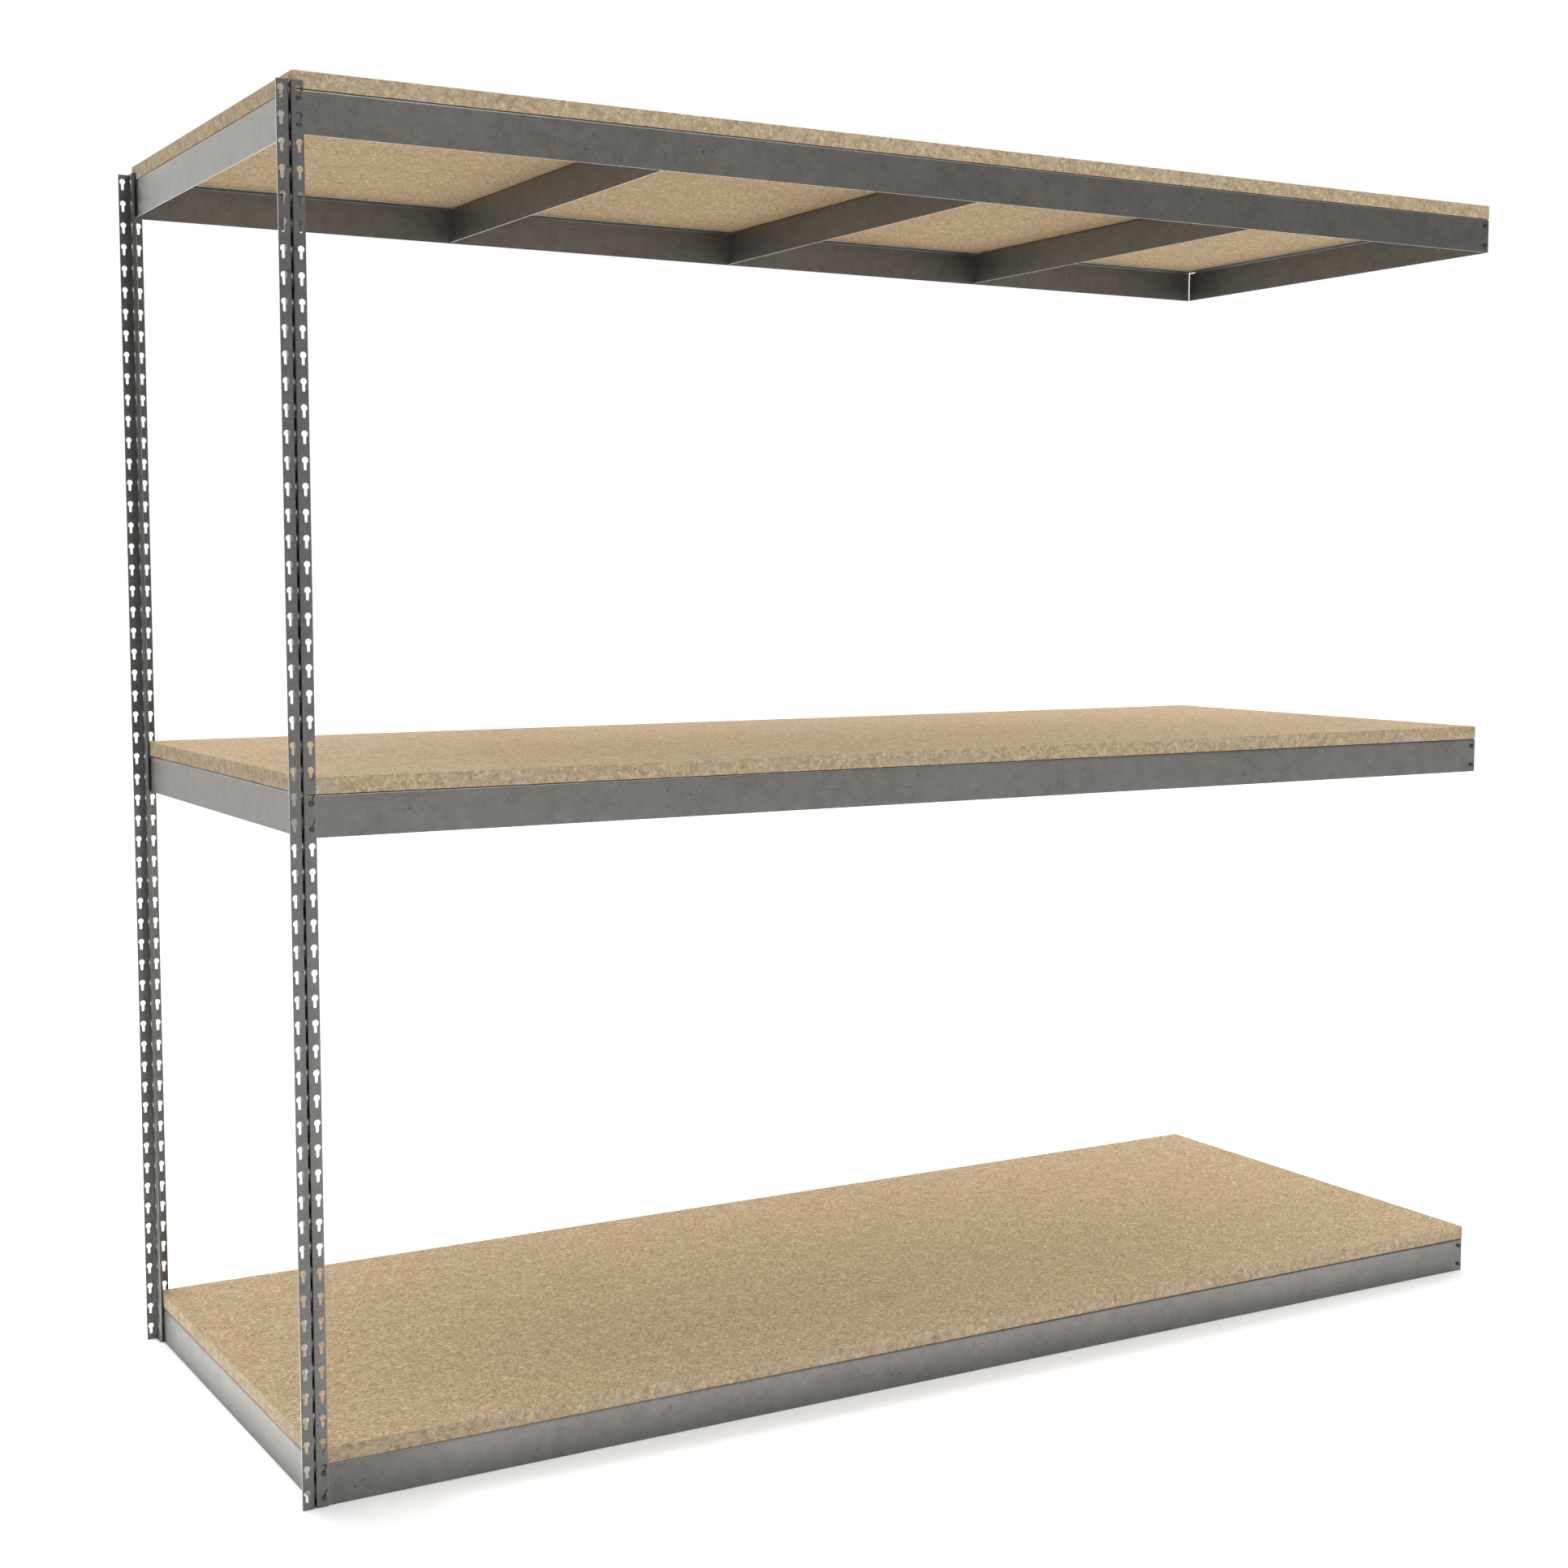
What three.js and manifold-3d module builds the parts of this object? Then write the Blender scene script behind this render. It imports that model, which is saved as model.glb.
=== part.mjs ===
// Boltless rivet shelving, add-on bay: two tee posts at the left end carry three particle-board decks on
// riveted angle beams. The right end has no posts of its own and hooks onto those of the next bay.
// Millimetres, +Z up. The long beams run along X, the open right end is +X and the front is -Y.

import * as THREE from 'three';
import { mergeVertices } from 'three/addons/utils/BufferGeometryUtils.js';
import Module from 'manifold-3d';

const wasm = await Module();
wasm.setup();

// Bay. The working frame starts at the left tee's centre line and the front flange's face.
const bayPitch = 2438.4; // 96 in, tee centre to the next bay's tee centre
const bayDepth = 914.4; // 36 in, over the outer faces of the post flanges
const postHeight = 2133.6; // 84 in
const sheet = 1.9; // 14 gauge
const clearance = 0.3; // between pieces that touch
const bendOuterRadius = 2.2;
const bendInnerRadius = 0.6;
const punchOverlap = 1; // a cutter stands this far out of the sheet on each side
const mergeDistance = 1e-4;
const quarterTurn = Math.PI / 2;

// Tee post: one sheet folded flange, web, hairpin, web, flange.
const flangeHalfWidth = 20.5;
const webDepth = 30;
const webGap = 2.9; // two neighbouring bays' rivet heads lie back to back in it

// Keyholes, in rows at the standard 1.5 in pitch down every flange and web.
const holePitch = 38.1;
const holeRows = 56;
const firstHoleDrop = 12.3; // post top to the first round part's centre
const holeRadius = 5.1;
const slotHalfWidth = holeRadius / 2;
const slotReach = 15.1; // round part's centre down to the slot's bottom
const flangeHoleOffset = 13.3; // from the tee's centre line
const webHoleOffset = 14.5; // from the flange's outer face

// Angle beams, with the flange turned inwards at the top.
const beamHeight = 65;
const beamFlange = 25.4;
const beamBendRadius = 1.9; // inside the bend, as much as the sheet is thick
const beamEndInset = 4.8; // tee centre line to a long beam's end
const sideBeamEndGap = 3.8; // long beam's web to a side beam's end
const supportRaise = 1.6; // cross supports are this much shallower than the beams
const supportCount = 3;

// Rivets that hook into the keyholes, two at each beam end.
const rivetRowDrop = 13.25; // lower rivet's centre above the beam's bottom
const shankRadius = 2.2;
const headRadius = 4.2;
const headThickness = 1.1;
const rivetReach = sheet + 2 * clearance;
const rivetSides = 6;

// Staked tenons that fix a cross support's ends in the long beams.
const tenonHeight = 5;
const tenonProud = 0.6;
const tenonHeights = [19, 45]; // above the beam's bottom

// Decks.
const deckThickness = 25.4; // 1 in particle board
const deckSideInset = 4.0; // from the tee centre lines
const deckFrontInset = 2.4; // from the flange faces

// Each shelf hangs with its beams' lower rivets in this keyhole row, counted down from the post top.
const shelves = [
  { name: 'top', lowerRow: 1 },
  { name: 'middle', lowerRow: 28 },
  { name: 'bottom', lowerRow: 55 },
];

const postSteel = new THREE.MeshStandardMaterial({ color: 0x6f706c, roughness: 0.45, metalness: 0.6 });
const beamSteel = new THREE.MeshStandardMaterial({ color: 0x82827e, roughness: 0.42, metalness: 0.6 });
const particleBoard = new THREE.MeshStandardMaterial({ color: 0xc4aa84, roughness: 0.85, metalness: 0 });

// Turns a closed three.js geometry into a solid that can be joined and cut.
function toSolid(geometry) {
  const bare = geometry.clone();
  bare.deleteAttribute('normal');
  bare.deleteAttribute('uv');
  const merged = mergeVertices(bare, mergeDistance);
  return new wasm.Manifold(new wasm.Mesh({
    numProp: 3,
    vertProperties: new Float32Array(merged.attributes.position.array),
    triVerts: new Uint32Array(merged.index.array),
  }));
}

function toGeometry(solid) {
  const mesh = solid.getMesh();
  const geometry = new THREE.BufferGeometry();
  geometry.setAttribute('position', new THREE.BufferAttribute(new Float32Array(mesh.vertProperties), 3));
  geometry.setIndex(new THREE.BufferAttribute(new Uint32Array(mesh.triVerts), 1));
  return geometry;
}

function joinAll(first, others) {
  return others.reduce((solid, other) => solid.add(other), first);
}

function cutAll(first, others) {
  return others.reduce((solid, other) => solid.subtract(other), first);
}

function boxSolid(width, depth, height, x, y, z) {
  const box = new THREE.BoxGeometry(width, depth, height);
  box.translate(x, y, z);
  return toSolid(box);
}

function extrudeOutline(shape, length) {
  return new THREE.ExtrudeGeometry(shape, { depth: length, bevelEnabled: false, curveSegments: 2 });
}

// Tee section seen from above: x across the flanges, y from the flanges' outer face to the folded nose.
function teeOutline() {
  const slit = webGap / 2;
  const outside = slit + sheet;
  const noseCentre = webDepth - outside;
  const mouth = slit + bendOuterRadius;
  const shape = new THREE.Shape();
  shape.moveTo(flangeHalfWidth, 0);
  shape.lineTo(flangeHalfWidth, sheet);
  shape.lineTo(outside + bendInnerRadius, sheet);
  shape.lineTo(outside, sheet + bendInnerRadius);
  shape.lineTo(outside, noseCentre);
  shape.absarc(0, noseCentre, outside, 0, quarterTurn, false);
  shape.absarc(0, noseCentre, outside, quarterTurn, 2 * quarterTurn, false);
  shape.lineTo(-outside, sheet + bendInnerRadius);
  shape.lineTo(-outside - bendInnerRadius, sheet);
  shape.lineTo(-flangeHalfWidth, sheet);
  shape.lineTo(-flangeHalfWidth, 0);
  shape.lineTo(-mouth, 0);
  shape.absarc(-mouth, bendOuterRadius, bendOuterRadius, -quarterTurn, 0, false);
  shape.lineTo(-slit, noseCentre);
  shape.absarc(0, noseCentre, slit, 2 * quarterTurn, quarterTurn, true);
  shape.absarc(0, noseCentre, slit, quarterTurn, 0, true);
  shape.lineTo(slit, bendOuterRadius);
  shape.absarc(mouth, bendOuterRadius, bendOuterRadius, -2 * quarterTurn, -quarterTurn, false);
  shape.closePath();
  return shape;
}

// Keyhole with a six-sided round part, whose lower corners run straight down into the slot.
function keyholeOutline() {
  const side = holeRadius * Math.cos(Math.PI / 6);
  const shape = new THREE.Shape();
  shape.moveTo(-slotHalfWidth, side);
  shape.lineTo(-holeRadius, 0);
  shape.lineTo(-slotHalfWidth, -side);
  shape.lineTo(-slotHalfWidth, -slotReach);
  shape.lineTo(slotHalfWidth, -slotReach);
  shape.lineTo(slotHalfWidth, -side);
  shape.lineTo(holeRadius, 0);
  shape.lineTo(slotHalfWidth, side);
  shape.closePath();
  return shape;
}

function holeHeight(row) {
  return postHeight - firstHoleDrop - row * holePitch;
}

// Cutter that passes through a flange along y.
function flangePunch() {
  const length = sheet + 2 * punchOverlap;
  const punch = extrudeOutline(keyholeOutline(), length);
  punch.rotateX(quarterTurn);
  punch.translate(0, length - punchOverlap, 0);
  return toSolid(punch);
}

// Cutter that passes through both layers of the web along x.
function webPunch() {
  const length = webGap + 2 * sheet + 2 * punchOverlap;
  const punch = extrudeOutline(keyholeOutline(), length);
  punch.rotateX(quarterTurn);
  punch.rotateZ(quarterTurn);
  punch.translate(-length / 2, webHoleOffset, 0);
  return toSolid(punch);
}

function teePost() {
  const blank = toSolid(extrudeOutline(teeOutline(), postHeight));
  const flangeCut = flangePunch();
  const webCut = webPunch();
  const cuts = [];
  for (let row = 0; row < holeRows; row += 1) {
    const z = holeHeight(row);
    cuts.push(flangeCut.translate([-flangeHoleOffset, 0, z]));
    cuts.push(flangeCut.translate([flangeHoleOffset, 0, z]));
    cuts.push(webCut.translate([0, 0, z]));
  }
  return toGeometry(cutAll(blank, cuts));
}

// Angle bar along x, centred, with its web's outer face at y = 0 and its flange turned to +y at the top.
function angleBar(length, bottom) {
  const outside = sheet + beamBendRadius;
  const bendHeight = beamHeight - outside;
  const shape = new THREE.Shape();
  shape.moveTo(0, bottom);
  shape.lineTo(sheet, bottom);
  shape.lineTo(sheet, bendHeight);
  shape.absarc(outside, bendHeight, beamBendRadius, 2 * quarterTurn, quarterTurn, true);
  shape.lineTo(beamFlange, beamHeight - sheet);
  shape.lineTo(beamFlange, beamHeight);
  shape.lineTo(outside, beamHeight);
  shape.absarc(outside, bendHeight, outside, quarterTurn, 2 * quarterTurn, false);
  shape.closePath();
  const bar = extrudeOutline(shape, length);
  const alongX = new THREE.Matrix4().makeBasis(
    new THREE.Vector3(0, 1, 0),
    new THREE.Vector3(0, 0, 1),
    new THREE.Vector3(1, 0, 0),
  );
  bar.applyMatrix4(alongX);
  bar.translate(-length / 2, 0, 0);
  return toSolid(bar);
}

// Cuts the top of a bar's ends down so that they pass under the long beams' flanges and inside bends. Each
// cutter is centred on the bar's top corner, so it is twice as long and as high as the notch.
function notchEnds(bar, length) {
  const longBeamFlangeEdge = sheet + clearance + beamFlange + clearance;
  const notchLength = longBeamFlangeEdge - (bayDepth - length) / 2;
  const depth = sheet + beamBendRadius;
  const cuts = [-1, 1].map((end) => boxSolid(
    2 * notchLength, 4 * beamFlange, 2 * depth,
    end * length / 2, 0, beamHeight,
  ));
  return cutAll(bar, cuts);
}

// Headed rivet standing out of a beam's face along -y, at the origin.
function rivet() {
  const outline = [
    [0, -rivetReach - headThickness],
    [headRadius, -rivetReach - headThickness],
    [headRadius, -rivetReach],
    [shankRadius, -rivetReach],
    [shankRadius, sheet / 2],
    [0, sheet / 2],
  ].map(([radius, y]) => new THREE.Vector2(radius, y));
  return toSolid(new THREE.LatheGeometry(outline, rivetSides));
}

function endRivets(spacing) {
  const one = rivet();
  const rivets = [];
  for (const x of [-spacing / 2, spacing / 2]) {
    for (const z of [rivetRowDrop, rivetRowDrop + holePitch]) {
      rivets.push(one.translate([x, 0, z]));
    }
  }
  return rivets;
}

function supportPosition(index) {
  return bayPitch * (index + 1) / (supportCount + 1);
}

function longBeam() {
  const length = bayPitch - 2 * beamEndInset;
  const slotWidth = sheet + 2 * clearance;
  const slotHeight = tenonHeight + 2 * clearance;
  const slots = [];
  for (let index = 0; index < supportCount; index += 1) {
    const x = supportPosition(index) - bayPitch / 2;
    for (const z of tenonHeights) {
      slots.push(boxSolid(slotWidth, sheet + 2 * punchOverlap, slotHeight, x, sheet / 2, z));
    }
  }
  const plain = cutAll(angleBar(length, 0), slots);
  return toGeometry(joinAll(plain, endRivets(bayPitch - 2 * flangeHoleOffset)));
}

function sideBeam() {
  const length = bayDepth - 2 * (2 * sheet + clearance + sideBeamEndGap);
  const plain = notchEnds(angleBar(length, 0), length);
  return toGeometry(joinAll(plain, endRivets(bayDepth - 2 * webHoleOffset)));
}

function crossSupport() {
  const length = bayDepth - 4 * (sheet + clearance);
  const tenonReach = clearance + sheet + tenonProud;
  const tenons = [];
  for (const end of [-1, 1]) {
    for (const z of tenonHeights) {
      const x = end * (length / 2 + tenonReach / 2 - sheet / 2);
      tenons.push(boxSolid(tenonReach + sheet, sheet, tenonHeight, x, sheet / 2, z));
    }
  }
  const plain = notchEnds(angleBar(length, supportRaise), length);
  return toGeometry(joinAll(plain, tenons));
}

function deck() {
  return new THREE.BoxGeometry(bayPitch - 2 * deckSideInset, bayDepth - 2 * deckFrontInset, deckThickness);
}

function place(parent, name, geometry, material, position, turn = 0) {
  const mesh = new THREE.Mesh(geometry, material);
  mesh.name = name;
  mesh.position.set(...position);
  mesh.rotation.z = turn;
  parent.add(mesh);
}

function addPosts(bay) {
  const post = teePost();
  place(bay, 'front_tee_post', post, postSteel, [0, 0, 0]);
  place(bay, 'rear_tee_post', post, postSteel, [0, bayDepth, 0], 2 * quarterTurn);
}

function addShelf(bay, { name, lowerRow }, shapes) {
  const rivetHeight = holeHeight(lowerRow) - slotReach + slotHalfWidth;
  const z = rivetHeight - rivetRowDrop;
  const middleX = bayPitch / 2;
  const middleY = bayDepth / 2;
  const longFace = sheet + clearance;
  const sideFace = webGap / 2 + sheet + clearance;
  place(bay, `${name}_front_beam`, shapes.longBeam, beamSteel, [middleX, longFace, z]);
  const halfTurn = 2 * quarterTurn;
  place(bay, `${name}_rear_beam`, shapes.longBeam, beamSteel, [middleX, bayDepth - longFace, z], halfTurn);
  place(bay, `${name}_left_beam`, shapes.sideBeam, beamSteel, [sideFace, middleY, z], -quarterTurn);
  const rightFace = bayPitch - sideFace;
  place(bay, `${name}_right_beam`, shapes.sideBeam, beamSteel, [rightFace, middleY, z], quarterTurn);
  for (let index = 0; index < supportCount; index += 1) {
    const x = supportPosition(index) - sheet / 2;
    const supportName = `${name}_cross_support_${index + 1}`;
    place(bay, supportName, shapes.crossSupport, beamSteel, [x, middleY, z], -quarterTurn);
  }
  const deckMiddle = z + beamHeight + clearance + deckThickness / 2;
  place(bay, `${name}_deck`, shapes.deck, particleBoard, [middleX, middleY, deckMiddle]);
}

function shelvingBay() {
  const leftEnd = -flangeHalfWidth;
  const rightEnd = bayPitch - webGap / 2 - sheet - clearance + rivetReach + headThickness;
  const bay = new THREE.Group();
  bay.position.set(-(leftEnd + rightEnd) / 2, -bayDepth / 2, 0);
  const shapes = {
    longBeam: longBeam(),
    sideBeam: sideBeam(),
    crossSupport: crossSupport(),
    deck: deck(),
  };
  addPosts(bay);
  for (const shelf of shelves) {
    addShelf(bay, shelf, shapes);
  }
  const root = new THREE.Group();
  root.add(bay);
  return root;
}

export default shelvingBay();
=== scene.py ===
"""Boltless rivet shelving bay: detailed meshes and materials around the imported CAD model, in metres."""

import math
import random

import bmesh
import bpy
from mathutils import Matrix, Vector


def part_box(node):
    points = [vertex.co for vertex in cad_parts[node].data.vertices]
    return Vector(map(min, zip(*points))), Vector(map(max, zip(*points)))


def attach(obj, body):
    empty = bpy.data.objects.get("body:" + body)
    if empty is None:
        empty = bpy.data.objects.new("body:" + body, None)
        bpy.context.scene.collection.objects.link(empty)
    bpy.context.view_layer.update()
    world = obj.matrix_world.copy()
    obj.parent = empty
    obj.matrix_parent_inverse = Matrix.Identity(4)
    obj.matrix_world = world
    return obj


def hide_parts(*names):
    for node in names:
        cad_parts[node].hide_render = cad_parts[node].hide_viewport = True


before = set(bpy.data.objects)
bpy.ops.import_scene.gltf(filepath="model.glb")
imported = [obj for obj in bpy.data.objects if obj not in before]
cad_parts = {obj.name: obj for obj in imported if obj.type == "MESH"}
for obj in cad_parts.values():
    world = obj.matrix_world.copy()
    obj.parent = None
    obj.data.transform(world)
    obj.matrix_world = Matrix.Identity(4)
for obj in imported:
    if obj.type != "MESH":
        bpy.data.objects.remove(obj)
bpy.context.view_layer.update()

MM = 0.001
SHELVES = ("top", "middle", "bottom")
SUPPORTS = (1, 2, 3)
FRAME_BODY = "frame"

# Sheet metal, as in the CAD model.
SHEET = 1.9 * MM
# Width of the lighter strip beside one flange edge: worn bare steel that also carries a painted highlight of
# the rounded edge.
WORN_AND_HIGHLIGHT_STRIP = 1.4 * MM
CLEARANCE = 0.3 * MM
BEND_OUTER = 2.2 * MM
BEND_INNER = 0.6 * MM
BEND_STEPS = 8
EDGE_BREAK = 0.22 * MM
SHARP_ANGLE = math.radians(50)  # edges that turn more than this are rounded
CREASE_ANGLE = math.radians(32)  # and less than this are shaded smooth
PUNCH_OVERLAP = 1 * MM  # a cutter stands this far out of the sheet on each side

# Tee post section and its keyholes.
WEB_GAP = 2.9 * MM
HOLE_PITCH = 38.1 * MM
FIRST_HOLE_DROP = 12.3 * MM
HOLE_RADIUS = 5.1 * MM
SLOT_HALF_WIDTH = HOLE_RADIUS / 2
HOLE_STEPS = 26
SLOT_STEPS = 10
SLOT_REACH = 15.1 * MM
FLANGE_HOLE_OFFSET = 13.3 * MM
WEB_HOLE_OFFSET = 14.5 * MM
HOLE_ROWS = 56

# Angle beams, cross supports and rivets.
BEAM_HEIGHT = 65 * MM
BEAM_FLANGE = 25.4 * MM
BEAM_BEND = 1.9 * MM
SUPPORT_RAISE = 1.6 * MM
RIVET_ROW_DROP = 13.25 * MM
RIVET_REACH = SHEET + 2 * CLEARANCE
HEAD_RADIUS = 4.2 * MM
HEAD_THICKNESS = 1.1 * MM
SHANK_RADIUS = 2.2 * MM
RIVET_SIDES = 28
TENON_HEIGHT = 5 * MM
TENON_PROUD = 0.6 * MM
TENON_HEIGHTS = (19 * MM, 45 * MM)

# Decks.
EDGE_STEP = 5 * MM
EDGE_ROUND = 0.9 * MM
EDGE_BORDER = 4 * MM
CHIP_DEPTH = 0.9 * MM
CHIP_CHANCE = 0.10
DEEPEST_CHIP = 1.5 * CHIP_DEPTH  # where two chips meet

# Light and camera. The camera stands where the photo's did.
STRIP_HEIGHT = 0.25
STRIP_SPREAD = 40
CAMERA_PLACE = (-2.2790, -3.7434, 1.4116)
CAMERA_YAW = 0.5231
CAMERA_PITCH = -0.0887
CAMERA_LENS = 52.51
SENSOR = 36.0


# ---------------------------------------------------------------- meshes

def arc(centre, radius, start, end, steps):
    """Points on an arc, with the angles in degrees, both ends included."""
    points = []
    for step in range(steps + 1):
        angle = math.radians(start + (end - start) * step / steps)
        points.append((centre[0] + radius * math.cos(angle), centre[1] + radius * math.sin(angle)))
    return points


def prism(outline, start, end, axis):
    """Closed mesh of an outline swept along x, y or z. The outline's two values follow the axis in turn."""
    first = "xyz".index(axis)
    mesh = bmesh.new()
    rings = []
    for along in (start, end):
        ring = []
        for a, b in outline:
            place = [0.0, 0.0, 0.0]
            place[first] = along
            place[(first + 1) % 3] = a
            place[(first + 2) % 3] = b
            ring.append(mesh.verts.new(place))
        rings.append(ring)
    mesh.faces.new(rings[0])
    mesh.faces.new(rings[1])
    count = len(outline)
    for i in range(count):
        j = (i + 1) % count
        mesh.faces.new((rings[0][i], rings[0][j], rings[1][j], rings[1][i]))
    bmesh.ops.recalc_face_normals(mesh, faces=mesh.faces)
    return mesh


def block(low, high):
    outline = [(low[1], low[2]), (high[1], low[2]), (high[1], high[2]), (low[1], high[2])]
    return prism(outline, low[0], high[0], "x")


def lathe(profile, sides):
    """Closed mesh of a profile of (radius, y) turned about the y axis. It starts and ends on the axis."""
    mesh = bmesh.new()
    rings = []
    for radius, y in profile:
        if radius == 0:
            rings.append([mesh.verts.new((0, y, 0))] * sides)
            continue
        ring = []
        for side in range(sides):
            angle = 2 * math.pi * side / sides
            ring.append(mesh.verts.new((radius * math.cos(angle), y, radius * math.sin(angle))))
        rings.append(ring)
    for lower, upper in zip(rings, rings[1:]):
        for i in range(sides):
            j = (i + 1) % sides
            corners = []
            for vertex in (lower[i], lower[j], upper[j], upper[i]):
                if vertex not in corners:
                    corners.append(vertex)
            mesh.faces.new(corners)
    bmesh.ops.recalc_face_normals(mesh, faces=mesh.faces)
    return mesh


def joined(parts):
    """One bmesh that holds several, each with its own transform. The parts are used up."""
    whole = bmesh.new()
    for part, transform in parts:
        data = bpy.data.meshes.new("part")
        part.to_mesh(data)
        part.free()
        data.transform(transform)
        whole.from_mesh(data)
        bpy.data.meshes.remove(data)
    return whole


def to_object(name, mesh):
    data = bpy.data.meshes.new(name)
    mesh.to_mesh(data)
    mesh.free()
    piece = bpy.data.objects.new(name, data)
    bpy.context.scene.collection.objects.link(piece)
    return piece


def apply_modifiers(piece):
    bpy.context.view_layer.update()
    graph = bpy.context.evaluated_depsgraph_get()
    data = bpy.data.meshes.new_from_object(piece.evaluated_get(graph))
    piece.modifiers.clear()
    piece.data = data


def combine(piece, mesh, operation):
    """Cuts a mesh from a piece, or joins it on."""
    other = to_object("tool", mesh)
    change = piece.modifiers.new(operation, "BOOLEAN")
    change.operation = operation
    change.solver = "MANIFOLD"
    change.object = other
    apply_modifiers(piece)
    bpy.data.objects.remove(other)


def break_edges(piece):
    """Rounds the sharp edges slightly, as on real sheet."""
    bevel = piece.modifiers.new("edges", "BEVEL")
    bevel.width = EDGE_BREAK
    bevel.segments = 2
    bevel.limit_method = "ANGLE"
    bevel.angle_limit = SHARP_ANGLE
    apply_modifiers(piece)


def use_materials(piece, materials):
    """Fills the material slots, and drops the empty ones that the modifiers leave."""
    shown = [face.material_index for face in piece.data.polygons]
    piece.data.materials.clear()
    for material in materials:
        piece.data.materials.append(material)
    piece.data.polygons.foreach_set("material_index", shown)


def smooth_bends(piece):
    """Smooth shading over the bends, with each normal weighted by area so that the flat faces stay flat."""
    piece.data.polygons.foreach_set("use_smooth", [True] * len(piece.data.polygons))
    piece.data.set_sharp_from_angle(angle=CREASE_ANGLE)
    weighted = piece.modifiers.new("normals", "WEIGHTED_NORMAL")
    weighted.mode = "FACE_AREA"
    weighted.keep_sharp = True
    apply_modifiers(piece)


def stand_for(piece, node, body):
    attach(piece, body)
    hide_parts(node)


# ---------------------------------------------------------------- tee posts

def tee_outline(half_width, depth):
    """Section of one folded sheet: x across the flanges, y from the flanges' outer face to the nose."""
    slit = WEB_GAP / 2
    outside = slit + SHEET
    nose = (0, depth - outside)
    inner = BEND_INNER
    outline = [(half_width, 0), (half_width, SHEET)]
    outline += arc((outside + inner, SHEET + inner), inner, 270, 180, BEND_STEPS)
    outline += arc(nose, outside, 0, 180, 2 * BEND_STEPS)
    outline += arc((-outside - inner, SHEET + inner), inner, 0, -90, BEND_STEPS)
    outline += [(-half_width, SHEET), (-half_width, 0)]
    outline += arc((-slit - BEND_OUTER, BEND_OUTER), BEND_OUTER, -90, 0, BEND_STEPS)
    outline += arc(nose, slit, 180, 0, 2 * BEND_STEPS)
    outline += arc((slit + BEND_OUTER, BEND_OUTER), BEND_OUTER, 180, 270, BEND_STEPS)
    outline += [(half_width - WORN_AND_HIGHLIGHT_STRIP, 0)]
    return outline


def keyhole_outline():
    """Round hole over a slot with a round bottom, as (across, up) from the round part's centre."""
    shoulder = math.degrees(math.asin(SLOT_HALF_WIDTH / HOLE_RADIUS))
    outline = arc((0, 0), HOLE_RADIUS, -90 + shoulder, 270 - shoulder, HOLE_STEPS)
    slot_end = (0, SLOT_HALF_WIDTH - SLOT_REACH)
    outline += arc(slot_end, SLOT_HALF_WIDTH, 180, 360, SLOT_STEPS)
    return outline


def keyholes(height):
    """Cutters for every keyhole of a post: two flange rows along y and one web row along x."""
    keyhole = keyhole_outline()
    upright = [(up, across) for across, up in keyhole]
    web_reach = WEB_GAP / 2 + SHEET + PUNCH_OVERLAP
    parts = []
    for row in range(HOLE_ROWS):
        z = height - FIRST_HOLE_DROP - row * HOLE_PITCH
        for x in (-FLANGE_HOLE_OFFSET, FLANGE_HOLE_OFFSET):
            punch = prism(upright, -PUNCH_OVERLAP, SHEET + PUNCH_OVERLAP, "y")
            parts.append((punch, Matrix.Translation((x, 0, z))))
        punch = prism(keyhole, -web_reach, web_reach, "x")
        parts.append((punch, Matrix.Translation((0, WEB_HOLE_OFFSET, z))))
    return joined(parts)


def mark_flange_edges(post, half_width):
    """Second material on the flanges' sheared edges, lightened as a painted highlight. Third on the strip
    beside one of them: worn bare steel, lightened further as a painted highlight of the rounded edge.
    """
    for face in post.data.polygons:
        sheared = abs(face.normal.x) > 0.5 and abs(face.center.x) > half_width - 2 * EDGE_BREAK
        worn_and_highlight = face.normal.y < -0.5 and face.center.x > half_width - WORN_AND_HIGHLIGHT_STRIP
        face.material_index = 1 if sheared else 2 if worn_and_highlight else 0


def tee_post(node, turn, materials):
    low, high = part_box(node)
    size = high - low
    post = to_object(node + "_sheet", prism(tee_outline(size.x / 2, size.y), 0, size.z, "z"))
    combine(post, keyholes(size.z), "DIFFERENCE")
    break_edges(post)
    mark_flange_edges(post, size.x / 2)
    smooth_bends(post)
    face_y = low.y if turn == 0 else high.y
    place = Matrix.Translation(((low.x + high.x) / 2, face_y, low.z))
    post.data.transform(place @ Matrix.Rotation(turn, 4, "Z"))
    use_materials(post, materials)
    stand_for(post, node, FRAME_BODY)


# ---------------------------------------------------------------- beams and supports

def angle_bar(name, length, bottom):
    """Angle along x: web face at y = 0, flange turned to +y at the top, with round bends."""
    top = BEAM_HEIGHT
    outside = SHEET + BEAM_BEND
    bend_centre = (outside, top - outside)
    outline = [(0, bottom), (SHEET, bottom)]
    outline += arc(bend_centre, BEAM_BEND, 180, 90, BEND_STEPS)
    outline += [(BEAM_FLANGE, top - SHEET), (BEAM_FLANGE, top)]
    outline += arc(bend_centre, outside, 90, 180, BEND_STEPS)
    return to_object(name, prism(outline, -length / 2, length / 2, "x"))


def end_notches(length, notch):
    """Cutters that let a bar's ends pass under the long beams' flanges and inside bends."""
    drop = SHEET + BEAM_BEND
    parts = []
    for end in (-1, 1):
        x = end * length / 2
        low = (x - notch, -BEAM_FLANGE, BEAM_HEIGHT - drop)
        cutter = block(low, (x + notch, 2 * BEAM_FLANGE, BEAM_HEIGHT + drop))
        parts.append((cutter, Matrix.Identity(4)))
    return joined(parts)


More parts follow.
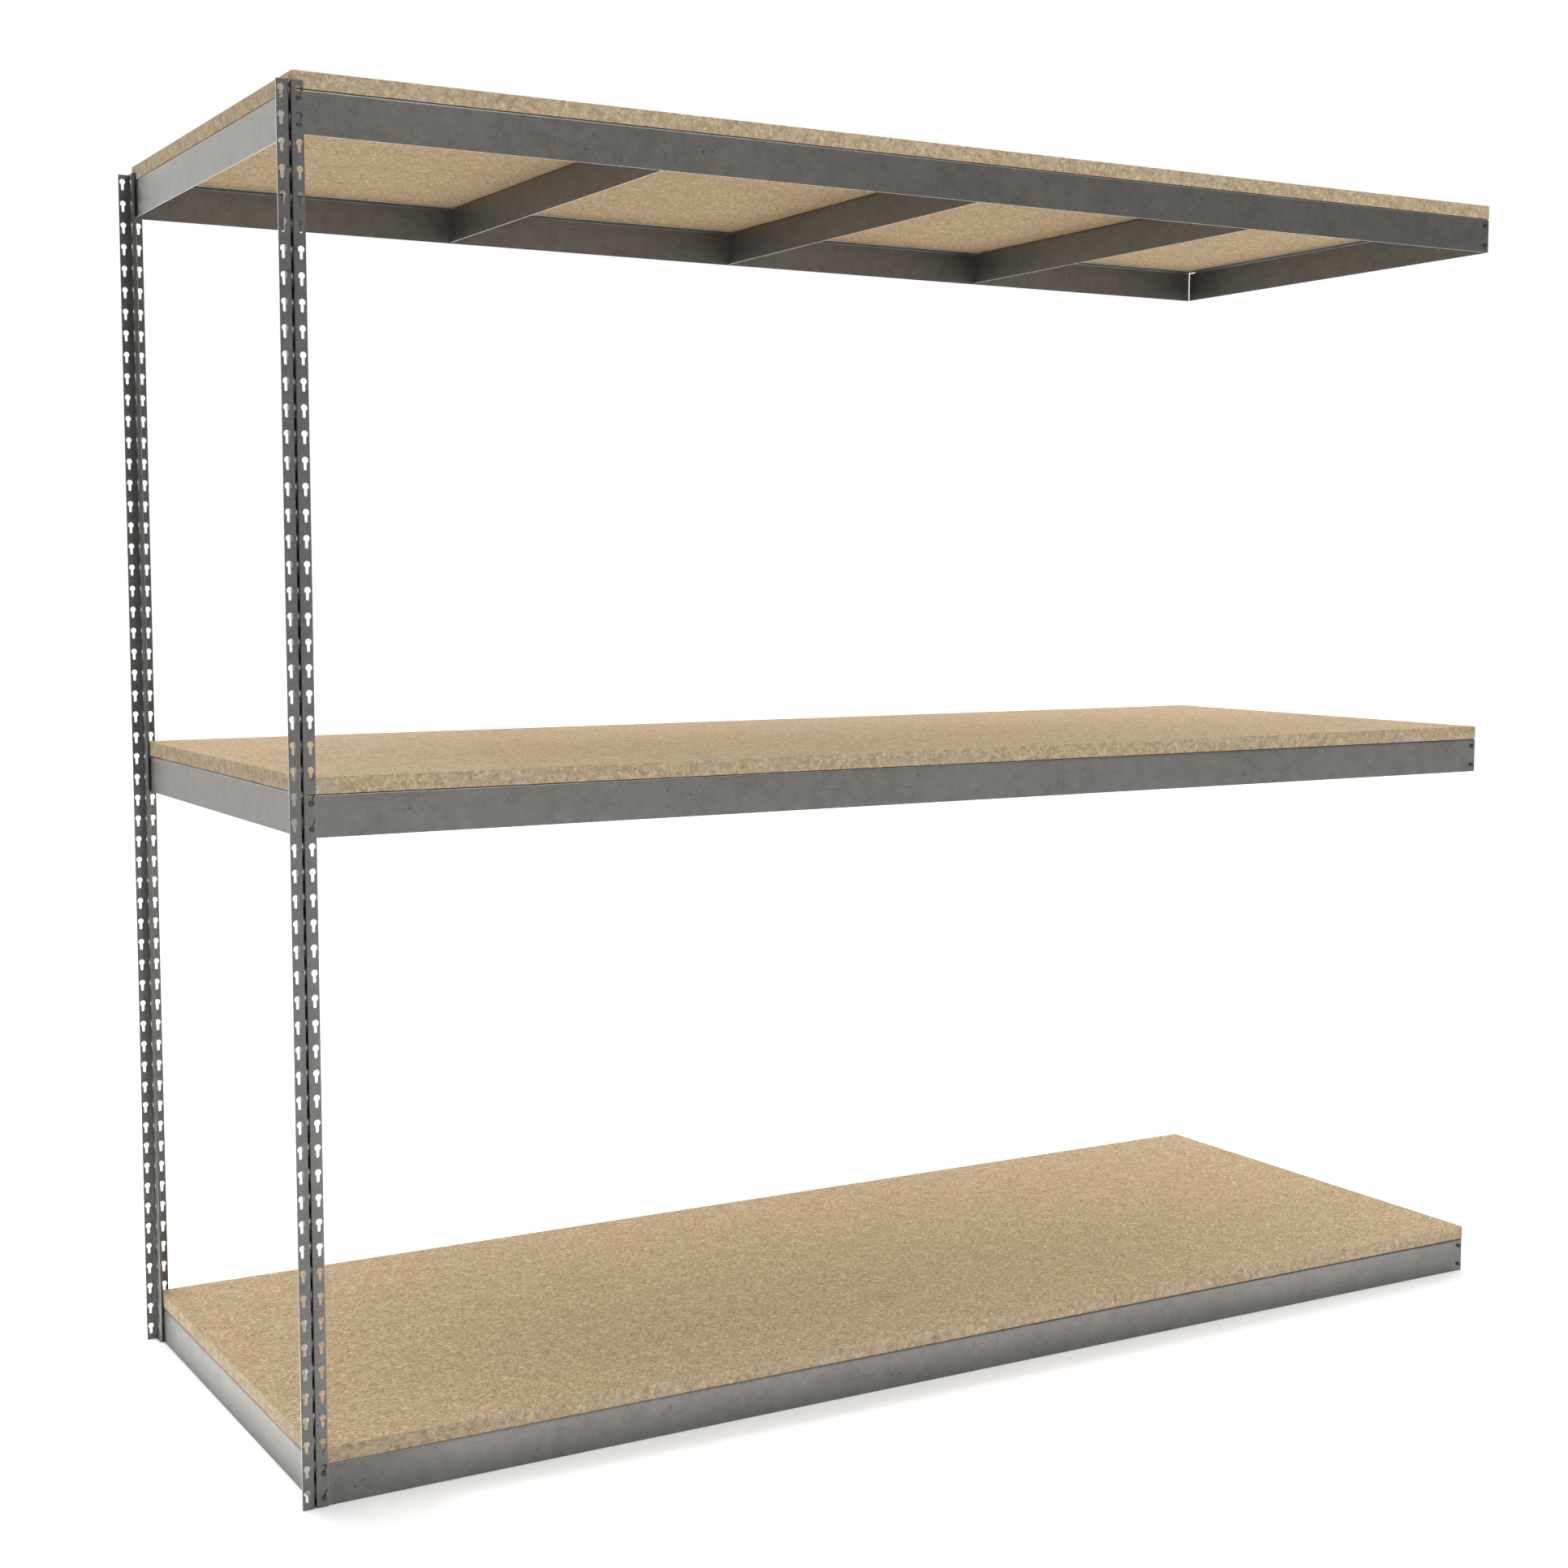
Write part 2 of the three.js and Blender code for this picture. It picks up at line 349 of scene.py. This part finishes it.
def rivet():
    """Semi-tubular rivet along y: dished head outside the sheet, rolled tail behind it."""
    face = -RIVET_REACH
    back = SHEET
    profile = [
        (0, face - 0.65 * MM),
        (1.2 * MM, face - 0.75 * MM),
        (1.6 * MM, face - 1.02 * MM),
        (2.5 * MM, face - HEAD_THICKNESS),
        (3.5 * MM, face - 0.94 * MM),
        (4.05 * MM, face - 0.62 * MM),
        (HEAD_RADIUS, face - 0.25 * MM),
        (HEAD_RADIUS - 0.1 * MM, face),
        (SHANK_RADIUS, face),
        (SHANK_RADIUS, back - 0.4 * MM),
        (3.3 * MM, back - 0.1 * MM),
        (3.4 * MM, back + 0.4 * MM),
        (2.8 * MM, back + 0.9 * MM),
        (1.9 * MM, back + 0.95 * MM),
        (1.2 * MM, back + 0.4 * MM),
        (0, back + 0.3 * MM),
    ]
    return lathe(profile, RIVET_SIDES)


def end_rivets(spacing):
    parts = []
    for x in (-spacing / 2, spacing / 2):
        for z in (RIVET_ROW_DROP, RIVET_ROW_DROP + HOLE_PITCH):
            parts.append((rivet(), Matrix.Translation((x, 0, z))))
    return joined(parts)


def tenon_slots(places):
    parts = []
    half_width = SHEET / 2 + CLEARANCE
    half_height = TENON_HEIGHT / 2 + CLEARANCE
    for x in places:
        for z in TENON_HEIGHTS:
            low = (x - half_width, -SHEET, z - half_height)
            high = (x + half_width, 2 * SHEET, z + half_height)
            parts.append((block(low, high), Matrix.Identity(4)))
    return joined(parts)


def tenons(length, reach):
    parts = []
    for end in (-1, 1):
        near = end * (length / 2 - SHEET)
        far = end * (length / 2 + reach)
        for z in TENON_HEIGHTS:
            low = (min(near, far), 0, z - TENON_HEIGHT / 2)
            high = (max(near, far), SHEET, z + TENON_HEIGHT / 2)
            parts.append((block(low, high), Matrix.Identity(4)))
    return joined(parts)


def mark_cut_edges(piece, bottom):
    """Second material on the web's lower edge and the flange's far edge: bare cut steel, lightened as a
    painted highlight. Third on the rivet heads: a darker steel that is painted shade for the shadow under
    and inside the heads.
    """
    close = 0.1 * MM
    for face in piece.data.polygons:
        lower_edge = face.normal.z < -0.9 and abs(face.center.z - bottom) < close
        far_edge = face.normal.y > 0.9 and abs(face.center.y - BEAM_FLANGE) < close
        rivet_head = face.center.y < -close / 2
        face.material_index = 1 if lower_edge or far_edge else 2 if rivet_head else 0


def put_beam(piece, node, turn, stand_out, bottom, materials):
    """Places a bar made along x at its CAD node, turned about z, and lets it stand for that node."""
    low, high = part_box(node)
    centre = (low + high) / 2
    half = (high - low) / 2
    outward = Vector((math.sin(turn), -math.cos(turn), 0))
    reach = abs(half.x * outward.x) + abs(half.y * outward.y) - stand_out
    place = centre + outward * reach
    place.z = low.z - bottom
    mark_cut_edges(piece, bottom)
    piece.data.transform(Matrix.Translation(place) @ Matrix.Rotation(turn, 4, "Z"))
    use_materials(piece, materials)
    stand_for(piece, node, FRAME_BODY)


def copy_of(pattern, name):
    piece = pattern.copy()
    piece.data = pattern.data.copy()
    piece.name = name
    piece.data.name = name
    bpy.context.scene.collection.objects.link(piece)
    return piece


def frame_depth():
    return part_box("rear_tee_post")[1].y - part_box("front_tee_post")[0].y


def notch_depth(length):
    """How far a bar's end notch reaches in, to clear the long beam's flange."""
    return SHEET + 2 * CLEARANCE + BEAM_FLANGE - (frame_depth() - length) / 2


def long_beam_pattern():
    low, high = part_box("top_front_beam")
    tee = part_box("front_tee_post")
    tee_x = (tee[0].x + tee[1].x) / 2
    centre_x = (low.x + high.x) / 2
    post_side_gap = low.x - tee_x
    pitch = 2 * (centre_x - tee_x)
    beam = angle_bar("long_beam", pitch - 2 * post_side_gap, 0)
    places = []
    for index in SUPPORTS:
        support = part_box(f"top_cross_support_{index}")
        places.append(support[0].x + SHEET / 2 - centre_x)
    combine(beam, tenon_slots(places), "DIFFERENCE")
    break_edges(beam)
    combine(beam, end_rivets(pitch - 2 * FLANGE_HOLE_OFFSET), "UNION")
    smooth_bends(beam)
    return beam


def side_beam_pattern():
    low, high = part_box("top_left_beam")
    length = high.y - low.y
    beam = angle_bar("side_beam", length, 0)
    combine(beam, end_notches(length, notch_depth(length)), "DIFFERENCE")
    break_edges(beam)
    combine(beam, end_rivets(frame_depth() - 2 * WEB_HOLE_OFFSET), "UNION")
    smooth_bends(beam)
    return beam


def support_pattern():
    low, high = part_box("top_cross_support_1")
    reach = CLEARANCE + SHEET + TENON_PROUD
    length = high.y - low.y - 2 * reach
    support = angle_bar("support", length, SUPPORT_RAISE)
    combine(support, end_notches(length, notch_depth(length)), "DIFFERENCE")
    combine(support, tenons(length, reach), "UNION")
    break_edges(support)
    smooth_bends(support)
    return support


def make_beams(materials):
    long_beam = long_beam_pattern()
    side_beam = side_beam_pattern()
    support = support_pattern()
    quarter = math.pi / 2
    stand_out = RIVET_REACH + HEAD_THICKNESS
    turns = {"front": (long_beam, 0), "rear": (long_beam, math.pi),
             "left": (side_beam, -quarter), "right": (side_beam, quarter)}
    for shelf in SHELVES:
        for side, (pattern, turn) in turns.items():
            node = f"{shelf}_{side}_beam"
            put_beam(copy_of(pattern, node + "_angle"), node, turn, stand_out, 0, materials)
        for index in SUPPORTS:
            node = f"{shelf}_cross_support_{index}"
            piece = copy_of(support, node + "_angle")
            put_beam(piece, node, -quarter, 0, SUPPORT_RAISE, materials)
    for pattern in (long_beam, side_beam, support):
        bpy.data.objects.remove(pattern)


# ---------------------------------------------------------------- decks

def rim_places(low, high):
    """Points round a deck's edge with the outward direction at each, about EDGE_STEP apart."""
    corners = [(low.x, low.y), (high.x, low.y), (high.x, high.y), (low.x, high.y)]
    outwards = [(0, -1), (1, 0), (0, 1), (-1, 0)]
    places = []
    for i, outward in enumerate(outwards):
        start = Vector(corners[i])
        end = Vector(corners[(i + 1) % 4])
        before = Vector(outwards[i - 1])
        places.append((start, Vector(outward) + before))
        steps = round((end - start).length / EDGE_STEP)
        for step in range(1, steps):
            places.append((start.lerp(end, step / steps), Vector(outward)))
    return places


def rim_profile(thickness):
    """Rows of a sawn edge as (inset, height), from the lower face's border up to the upper face's."""
    turn = arc((EDGE_ROUND, EDGE_ROUND), EDGE_ROUND, 270, 180, 3)
    lower = [(EDGE_BORDER, 0)] + turn
    upper = [(inset, thickness - height) for inset, height in reversed(lower)]
    return lower + [(0, thickness / 3), (0, 2 * thickness / 3)] + upper


def chip_sizes(count, dice):
    """How deep the arris is broken at each rim point: mostly nothing, with small bruises."""
    sizes = [0.0] * count
    for i in range(count):
        if dice.random() < CHIP_CHANCE:
            depth = CHIP_DEPTH * dice.random() ** 2
            sizes[i] += depth
            sizes[(i + 1) % count] += depth / 2
            sizes[i - 1] += depth / 2
    return sizes


def deck_mesh(low, high, dice):
    mesh = bmesh.new()
    places = rim_places(low, high)
    profile = rim_profile(high.z - low.z)
    rows = len(profile)
    arrises = (2, 3, rows - 4, rows - 3)
    chips = {row: chip_sizes(len(places), dice) for row in arrises}
    columns = []
    for i, (place, outward) in enumerate(places):
        column = []
        for row, (inset, height) in enumerate(profile):
            chip = chips[row][i] if row in chips else 0
            point = place - outward * (inset + min(chip, DEEPEST_CHIP))
            column.append(mesh.verts.new((point.x, point.y, low.z + height)))
        columns.append(column)
    for i, column in enumerate(columns):
        following = columns[(i + 1) % len(columns)]
        for row in range(rows - 1):
            face = mesh.faces.new((column[row], following[row], following[row + 1], column[row + 1]))
            on_border = row in (0, rows - 2)
            face.material_index = 0 if on_border else 1
    mesh.faces.new([column[0] for column in reversed(columns)])
    mesh.faces.new([column[-1] for column in columns])
    bmesh.ops.recalc_face_normals(mesh, faces=mesh.faces)
    return mesh


def make_decks(materials):
    for seed, shelf in enumerate(SHELVES, start=1):
        node = shelf + "_deck"
        low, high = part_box(node)
        deck = to_object(node + "_board", deck_mesh(low, high, random.Random(seed)))
        use_materials(deck, materials)
        smooth_bends(deck)
        stand_for(deck, node, node + "_board")


# ---------------------------------------------------------------- materials

class Surface:
    """A node material with one Principled shader, and short calls for the nodes that feed it."""

    def __init__(self, name, roughness, metallic, specular=0.5):
        self.material = bpy.data.materials.new(name)
        self.material.use_nodes = True
        self.tree = self.material.node_tree
        self.shader = self.tree.nodes["Principled BSDF"]
        self.shader.inputs["Roughness"].default_value = roughness
        self.shader.inputs["Metallic"].default_value = metallic
        self.shader.inputs["Specular IOR Level"].default_value = specular
        self.place = self.tree.nodes.new("ShaderNodeTexCoord").outputs["Object"]

    def feed(self, socket, value):
        if isinstance(value, bpy.types.NodeSocket):
            self.tree.links.new(value, socket)
        else:
            socket.default_value = value

    def stretched(self, scale, turn=(0, 0, 0), source=None):
        node = self.tree.nodes.new("ShaderNodeMapping")
        self.feed(node.inputs["Vector"], source or self.place)
        node.inputs["Scale"].default_value = scale
        node.inputs["Rotation"].default_value = turn
        return node.outputs[0]

    def noise(self, scale, detail=3, roughness=0.5, place=None, colour=False):
        node = self.tree.nodes.new("ShaderNodeTexNoise")
        self.feed(node.inputs["Vector"], place or self.place)
        node.inputs["Scale"].default_value = scale
        node.inputs["Detail"].default_value = detail
        node.inputs["Roughness"].default_value = roughness
        return node.outputs["Color" if colour else "Fac"]

    def cells(self, scale, place=None, output="Color"):
        node = self.tree.nodes.new("ShaderNodeTexVoronoi")
        self.feed(node.inputs["Vector"], place or self.place)
        node.inputs["Scale"].default_value = scale
        return node.outputs[output]

    def math(self, operation, a, b=0.0):
        node = self.tree.nodes.new("ShaderNodeMath")
        node.operation = operation
        self.feed(node.inputs[0], a)
        self.feed(node.inputs[1], b)
        return node.outputs[0]

    def spread(self, value, low, high, to_low=0.0, to_high=1.0):
        node = self.tree.nodes.new("ShaderNodeMapRange")
        self.feed(node.inputs["Value"], value)
        node.inputs["From Min"].default_value = low
        node.inputs["From Max"].default_value = high
        node.inputs["To Min"].default_value = to_low
        node.inputs["To Max"].default_value = to_high
        return node.outputs[0]

    def red(self, colour):
        node = self.tree.nodes.new("ShaderNodeSeparateColor")
        self.feed(node.inputs[0], colour)
        return node.outputs[0]

    def ramp(self, value, stops):
        node = self.tree.nodes.new("ShaderNodeValToRGB")
        self.feed(node.inputs[0], value)
        elements = node.color_ramp.elements
        while len(elements) < len(stops):
            elements.new(0.5)
        for element, (position, colour) in zip(elements, stops):
            element.position = position
            element.color = (*colour, 1)
        return node.outputs[0]

    def mix(self, factor, a, b):
        node = self.tree.nodes.new("ShaderNodeMix")
        node.data_type = "RGBA"
        self.feed(node.inputs["Factor"], factor)
        for name, value in (("A", a), ("B", b)):
            socket = [s for s in node.inputs if s.name == name and s.type == "RGBA"][0]
            self.feed(socket, (*value, 1) if isinstance(value, tuple) else value)
        return [s for s in node.outputs if s.type == "RGBA"][0]

    def warped(self, scale, amount):
        """The place, pushed about by noise."""
        node = self.tree.nodes.new("ShaderNodeVectorMath")
        node.operation = "MULTIPLY_ADD"
        self.feed(node.inputs[0], self.noise(scale, 2, colour=True))
        node.inputs[1].default_value = (amount,) * 3
        self.feed(node.inputs[2], self.place)
        return node.outputs[0]

    def bump(self, height, distance):
        node = self.tree.nodes.new("ShaderNodeBump")
        node.inputs["Distance"].default_value = distance
        node.inputs["Strength"].default_value = 1.0
        self.feed(node.inputs["Height"], height)
        self.feed(self.shader.inputs["Normal"], node.outputs[0])

    def colour(self, value):
        self.feed(self.shader.inputs["Base Color"], value)

    def rough(self, value):
        self.feed(self.shader.inputs["Roughness"], value)


def thin_lines(surface, scale, width, patch_scale):
    """Fine curved scuffs: the contour of a smooth noise, kept only in patches."""
    field = surface.noise(scale, 1, 0.3)
    off = surface.math("ABSOLUTE", surface.math("SUBTRACT", field, 0.5))
    line = surface.spread(off, 0.0, width, 1.0, 0.0)
    patch = surface.spread(surface.noise(patch_scale, 2), 0.5, 0.62)
    return surface.math("MULTIPLY", line, patch)


def steel(name, dark, light, roughness):
    """Grey coated sheet steel: an even fine grain, faint mottling, small crisp chips and thin scuffs."""
    s = Surface(name, roughness, 0.95)
    grain = s.spread(s.noise(260, 5, 0.75), 0.3, 0.7)
    mottle = s.spread(s.noise(38, 5, 0.65), 0.3, 0.7)
    cloud = s.spread(s.noise(4, 3, 0.5), 0.3, 0.7)
    tone = s.math("MULTIPLY", grain, 0.42)
    for part, share in ((mottle, 0.38), (cloud, 0.20)):
        tone = s.math("ADD", tone, s.math("MULTIPLY", part, share))
    colour = s.ramp(tone, [(0.0, dark), (1.0, light)])
    bent = s.warped(240, 0.011)
    chips = s.spread(s.cells(46, bent, "Distance"), 0.07, 0.15, 1.0, 0.0)
    chips = s.math("MULTIPLY", chips, s.spread(s.noise(14, 2), 0.50, 0.60))
    colour = s.mix(s.math("MULTIPLY", chips, 0.55), colour, tuple(0.35 * c for c in dark))
    scratches = s.spread(s.noise(1, 2, 0.5, s.stretched((11, 520, 520))), 0.70, 0.76)
    scuffs = s.math("MAXIMUM", thin_lines(s, 21, 0.006, 9), scratches)
    colour = s.mix(s.math("MULTIPLY", scuffs, 0.36), colour, tuple(0.45 * c for c in dark))
    s.colour(colour)
    s.rough(s.spread(grain, 0, 1, roughness - 0.03, roughness + 0.03))
    s.bump(s.math("SUBTRACT", grain, chips), 0.02 * MM)
    return s.material


def cut_steel_and_highlight(name):
    """The sheared edge of the sheet: bare steel with fine drag lines, lightened as a painted highlight of
    the lit edge.
    """
    s = Surface(name, 0.38, 0.55)
    drag = s.noise(90, 3, 0.6, s.stretched((1, 1, 9)))
    s.colour(s.ramp(s.spread(drag, 0.3, 0.7), [(0.0, (0.46, 0.45, 0.44)), (1.0, (0.66, 0.65, 0.63))]))
    s.rough(s.spread(drag, 0.3, 0.7, 0.30, 0.44))
    s.bump(drag, 0.05 * MM)
    return s.material


FLAKE_TONES = [
    (0.0, (0.157, 0.106, 0.055)),
    (0.25, (0.274, 0.200, 0.114)),
    (0.55, (0.405, 0.302, 0.185)),
    (1.0, (0.615, 0.492, 0.333)),
]

CHIP_TONES = [
    (0.0, (0.180, 0.126, 0.073)),
    (0.5, (0.385, 0.300, 0.190)),
    (1.0, (0.600, 0.500, 0.355)),
]


def board_face(name):
    """Sanded particle board: short fine flakes at all angles near the length, light ones and a few dark."""
    s = Surface(name, 0.85, 0.0, 0.06)
    bent = s.warped(60, 0.0025)
    tone = s.math("MULTIPLY", s.spread(s.noise(1, 4, 0.7, s.stretched((420, 900, 900))), 0.3, 0.7), 0.30)
    for angle, across, share in ((0.0, 470, 0.24), (0.7, 500, 0.21), (-0.8, 530, 0.21)):
        flakes = s.red(s.cells(1, s.stretched((260, across, across), (0, 0, angle), bent)))
        tone = s.math("ADD", tone, s.math("MULTIPLY", flakes, share))
    blotch = s.spread(s.noise(22, 4, 0.65), 0.3, 0.7)
    tone = s.math("ADD", tone, s.math("MULTIPLY", blotch, 0.06))
    colour = s.ramp(s.spread(tone, 0.18, 0.84), FLAKE_TONES)
    pale = s.math("GREATER_THAN", s.red(s.cells(1, s.stretched((150, 340, 340), (0, 0, 0.2), bent))), 0.965)
    colour = s.mix(s.math("MULTIPLY", pale, 0.55), colour, (0.640, 0.520, 0.350))
    bark = s.math("GREATER_THAN", s.red(s.cells(1, s.stretched((260, 420, 420), (0, 0, -0.4), bent))), 0.988)
    s.colour(s.mix(s.math("MULTIPLY", bark, 0.45), colour, (0.190, 0.125, 0.065)))
    s.bump(tone, 0.06 * MM)
    return s.material


def board_edge(name):
    """Sawn edge: crushed chips, greyish patches and small pits coloured dark as painted shade, nearly as
    light as the face.
    """
    s = Surface(name, 0.9, 0.0, 0.1)
    bent = s.warped(60, 0.006)
    chips = s.red(s.cells(260, bent))
    crumbs = s.spread(s.noise(900, 4, 0.7), 0.3, 0.7)
    patches = s.spread(s.noise(75, 4, 0.7), 0.33, 0.67)
    tone = s.math("MULTIPLY", chips, 0.32)
    for part, share in ((crumbs, 0.30), (patches, 0.38)):
        tone = s.math("ADD", tone, s.math("MULTIPLY", part, share))
    colour = s.ramp(tone, CHIP_TONES)
    grey = s.spread(s.noise(38, 3, 0.6), 0.52, 0.66)
    colour = s.mix(s.math("MULTIPLY", grey, 0.45), colour, (0.375, 0.330, 0.265))
    # The pits are recesses, and their dark colour is painted shade.
    shaded_pits = s.spread(s.cells(120, bent, "Distance"), 0.12, 0.22, 1.0, 0.0)
    shaded_pits = s.math("MULTIPLY", shaded_pits, s.spread(s.noise(60, 3), 0.50, 0.57))
    s.colour(s.mix(s.math("MULTIPLY", shaded_pits, 0.7), colour, (0.13, 0.085, 0.055)))
    s.bump(s.math("SUBTRACT", s.math("ADD", chips, crumbs), shaded_pits), 0.14 * MM)
    return s.material


def floor_paper(name):
    s = Surface(name, 0.9, 0.0, 0.1)
    s.colour(s.ramp(s.noise(3, 4), [(0.0, (0.90, 0.90, 0.90)), (1.0, (0.93, 0.93, 0.93))]))
    return s.material


# ---------------------------------------------------------------- stage

def make_floor():
    reach = 40
    bottom = -20 * MM
    top = -0.5 * MM
    floor = to_object("studio_floor", block((-reach, -reach, bottom), (reach, reach, top)))
    floor.data.materials.append(floor_paper("floor_paper"))


WHITE = (1, 1, 1, 1)


def make_world():
    """White to the camera. As light, a paper cove: bright behind and above, dim in front and far left."""
    world = bpy.data.worlds.new("cove")
    bpy.context.scene.world = world
    world.use_nodes = True
    tree = world.node_tree
    axes = tree.nodes.new("ShaderNodeSeparateXYZ")
    tree.links.new(tree.nodes.new("ShaderNodeTexCoord").outputs["Generated"], axes.inputs[0])

    def graded(axis, start, end, first, last):
        ramp = tree.nodes.new("ShaderNodeMapRange")
        ramp.interpolation_type = "SMOOTHSTEP"
        tree.links.new(axes.outputs[axis], ramp.inputs["Value"])
        for name, value in (("From Min", start), ("From Max", end), ("To Min", first), ("To Max", last)):
            ramp.inputs[name].default_value = value
        return ramp.outputs[0]

    def combined(operation, a, b):
        node = tree.nodes.new("ShaderNodeMath")
        node.operation = operation
        tree.links.new(a, node.inputs[0])
        tree.links.new(b, node.inputs[1])
        return node.outputs[0]

    wall_and_roof = combined("ADD", graded("Y", -0.6, 0.6, 0.15, 2.0), graded("Z", 0.35, 0.9, 0.0, 1.3))
    light = tree.nodes["Background"]
    dim_left = combined("MULTIPLY", wall_and_roof, graded("X", -0.8, -0.33, 0.10, 1.0))
    dim_zenith = combined("MULTIPLY", dim_left, graded("Z", 0.84, 0.96, 1.0, 0.6))
    tree.links.new(dim_zenith, light.inputs["Strength"])
    light.inputs["Color"].default_value = WHITE
    seen = tree.nodes.new("ShaderNodeBackground")
    seen.inputs["Color"].default_value = WHITE
    choice = tree.nodes.new("ShaderNodeMixShader")
    tree.links.new(tree.nodes.new("ShaderNodeLightPath").outputs["Is Camera Ray"], choice.inputs[0])
    tree.links.new(light.outputs[0], choice.inputs[1])
    tree.links.new(seen.outputs[0], choice.inputs[2])
    tree.links.new(choice.outputs[0], tree.nodes["World Output"].inputs[0])


def area_light(name, place, target, size, power, spread=180):
    """A rectangular light with its spread in degrees. The camera doesn't see it."""
    data = bpy.data.lights.new(name, "AREA")
    data.shape = "RECTANGLE"
    data.size, data.size_y = size
    data.energy = power
    data.spread = math.radians(spread)
    light = bpy.data.objects.new(name, data)
    light.location = place
    light.visible_camera = False
    light.rotation_euler = (Vector(target) - Vector(place)).to_track_quat("-Z", "Y").to_euler()
    bpy.context.scene.collection.objects.link(light)


def floor_strip(name, x, y, size, power):
    """A low strip that lights only the floor below it, which the beams beside it mirror."""
    area_light(name, (x, y, STRIP_HEIGHT), (x, y, 0), size, power, STRIP_SPREAD)


def make_lights():
    middle = (0, 0, 1.1)
    area_light("overhead_softbox", (-0.5, 0.5, 5.2), middle, (5.0, 3.5), 80)
    area_light("key_softbox", (0.8, -4.6, 6.0), middle, (3.0, 3.0), 114)
    floor_strip("left_floor_strip", -1.45, 0.05, (0.4, 0.95), 2.6)
    floor_strip("front_floor_strip", 0.15, -0.72, (2.3, 0.3), 3.6)


def make_camera():
    data = bpy.data.cameras.new("photo_camera")
    data.lens = CAMERA_LENS
    data.sensor_width = SENSOR
    data.clip_end = 200
    camera = bpy.data.objects.new("photo_camera", data)
    camera.location = CAMERA_PLACE
    camera.rotation_euler = (math.pi / 2 + CAMERA_PITCH, 0, -CAMERA_YAW)
    bpy.context.scene.collection.objects.link(camera)
    bpy.context.scene.camera = camera


bpy.context.scene.view_settings.view_transform = "Standard"
make_camera()
make_world()
make_lights()
make_floor()

post_steel = steel(
    "post_steel_coat", dark=(0.116, 0.116, 0.111), light=(0.212, 0.212, 0.203), roughness=0.42)
beam_steel = steel(
    "beam_steel_coat", dark=(0.128, 0.125, 0.116), light=(0.236, 0.231, 0.216), roughness=0.42)
# Sheared edges: bare cut steel, made lighter to carry the painted highlight that the lit edges show.
sheared_edge_and_highlight = cut_steel_and_highlight("sheared_edge_and_highlight")
# The strip beside the flange edge: worn bare steel, made lighter as a painted highlight of the rounded edge.
worn_and_highlight_steel = steel(
    "worn_steel_coat", dark=(0.180, 0.180, 0.172), light=(0.240, 0.240, 0.230), roughness=0.34)
for node, turn in (("front_tee_post", 0), ("rear_tee_post", math.pi)):
    tee_post(node, turn, [post_steel, sheared_edge_and_highlight, worn_and_highlight_steel])
# The rivets' dark colour is painted shade: it stands for the shadow under the heads and in their dished
# middles.
rivet_painted_shade_steel = steel(
    "rivet_painted_shade_steel", dark=(0.050, 0.050, 0.049), light=(0.100, 0.100, 0.098), roughness=0.36)
make_beams([beam_steel, sheared_edge_and_highlight, rivet_painted_shade_steel])
make_decks([board_face("board_face"), board_edge("board_edge")])
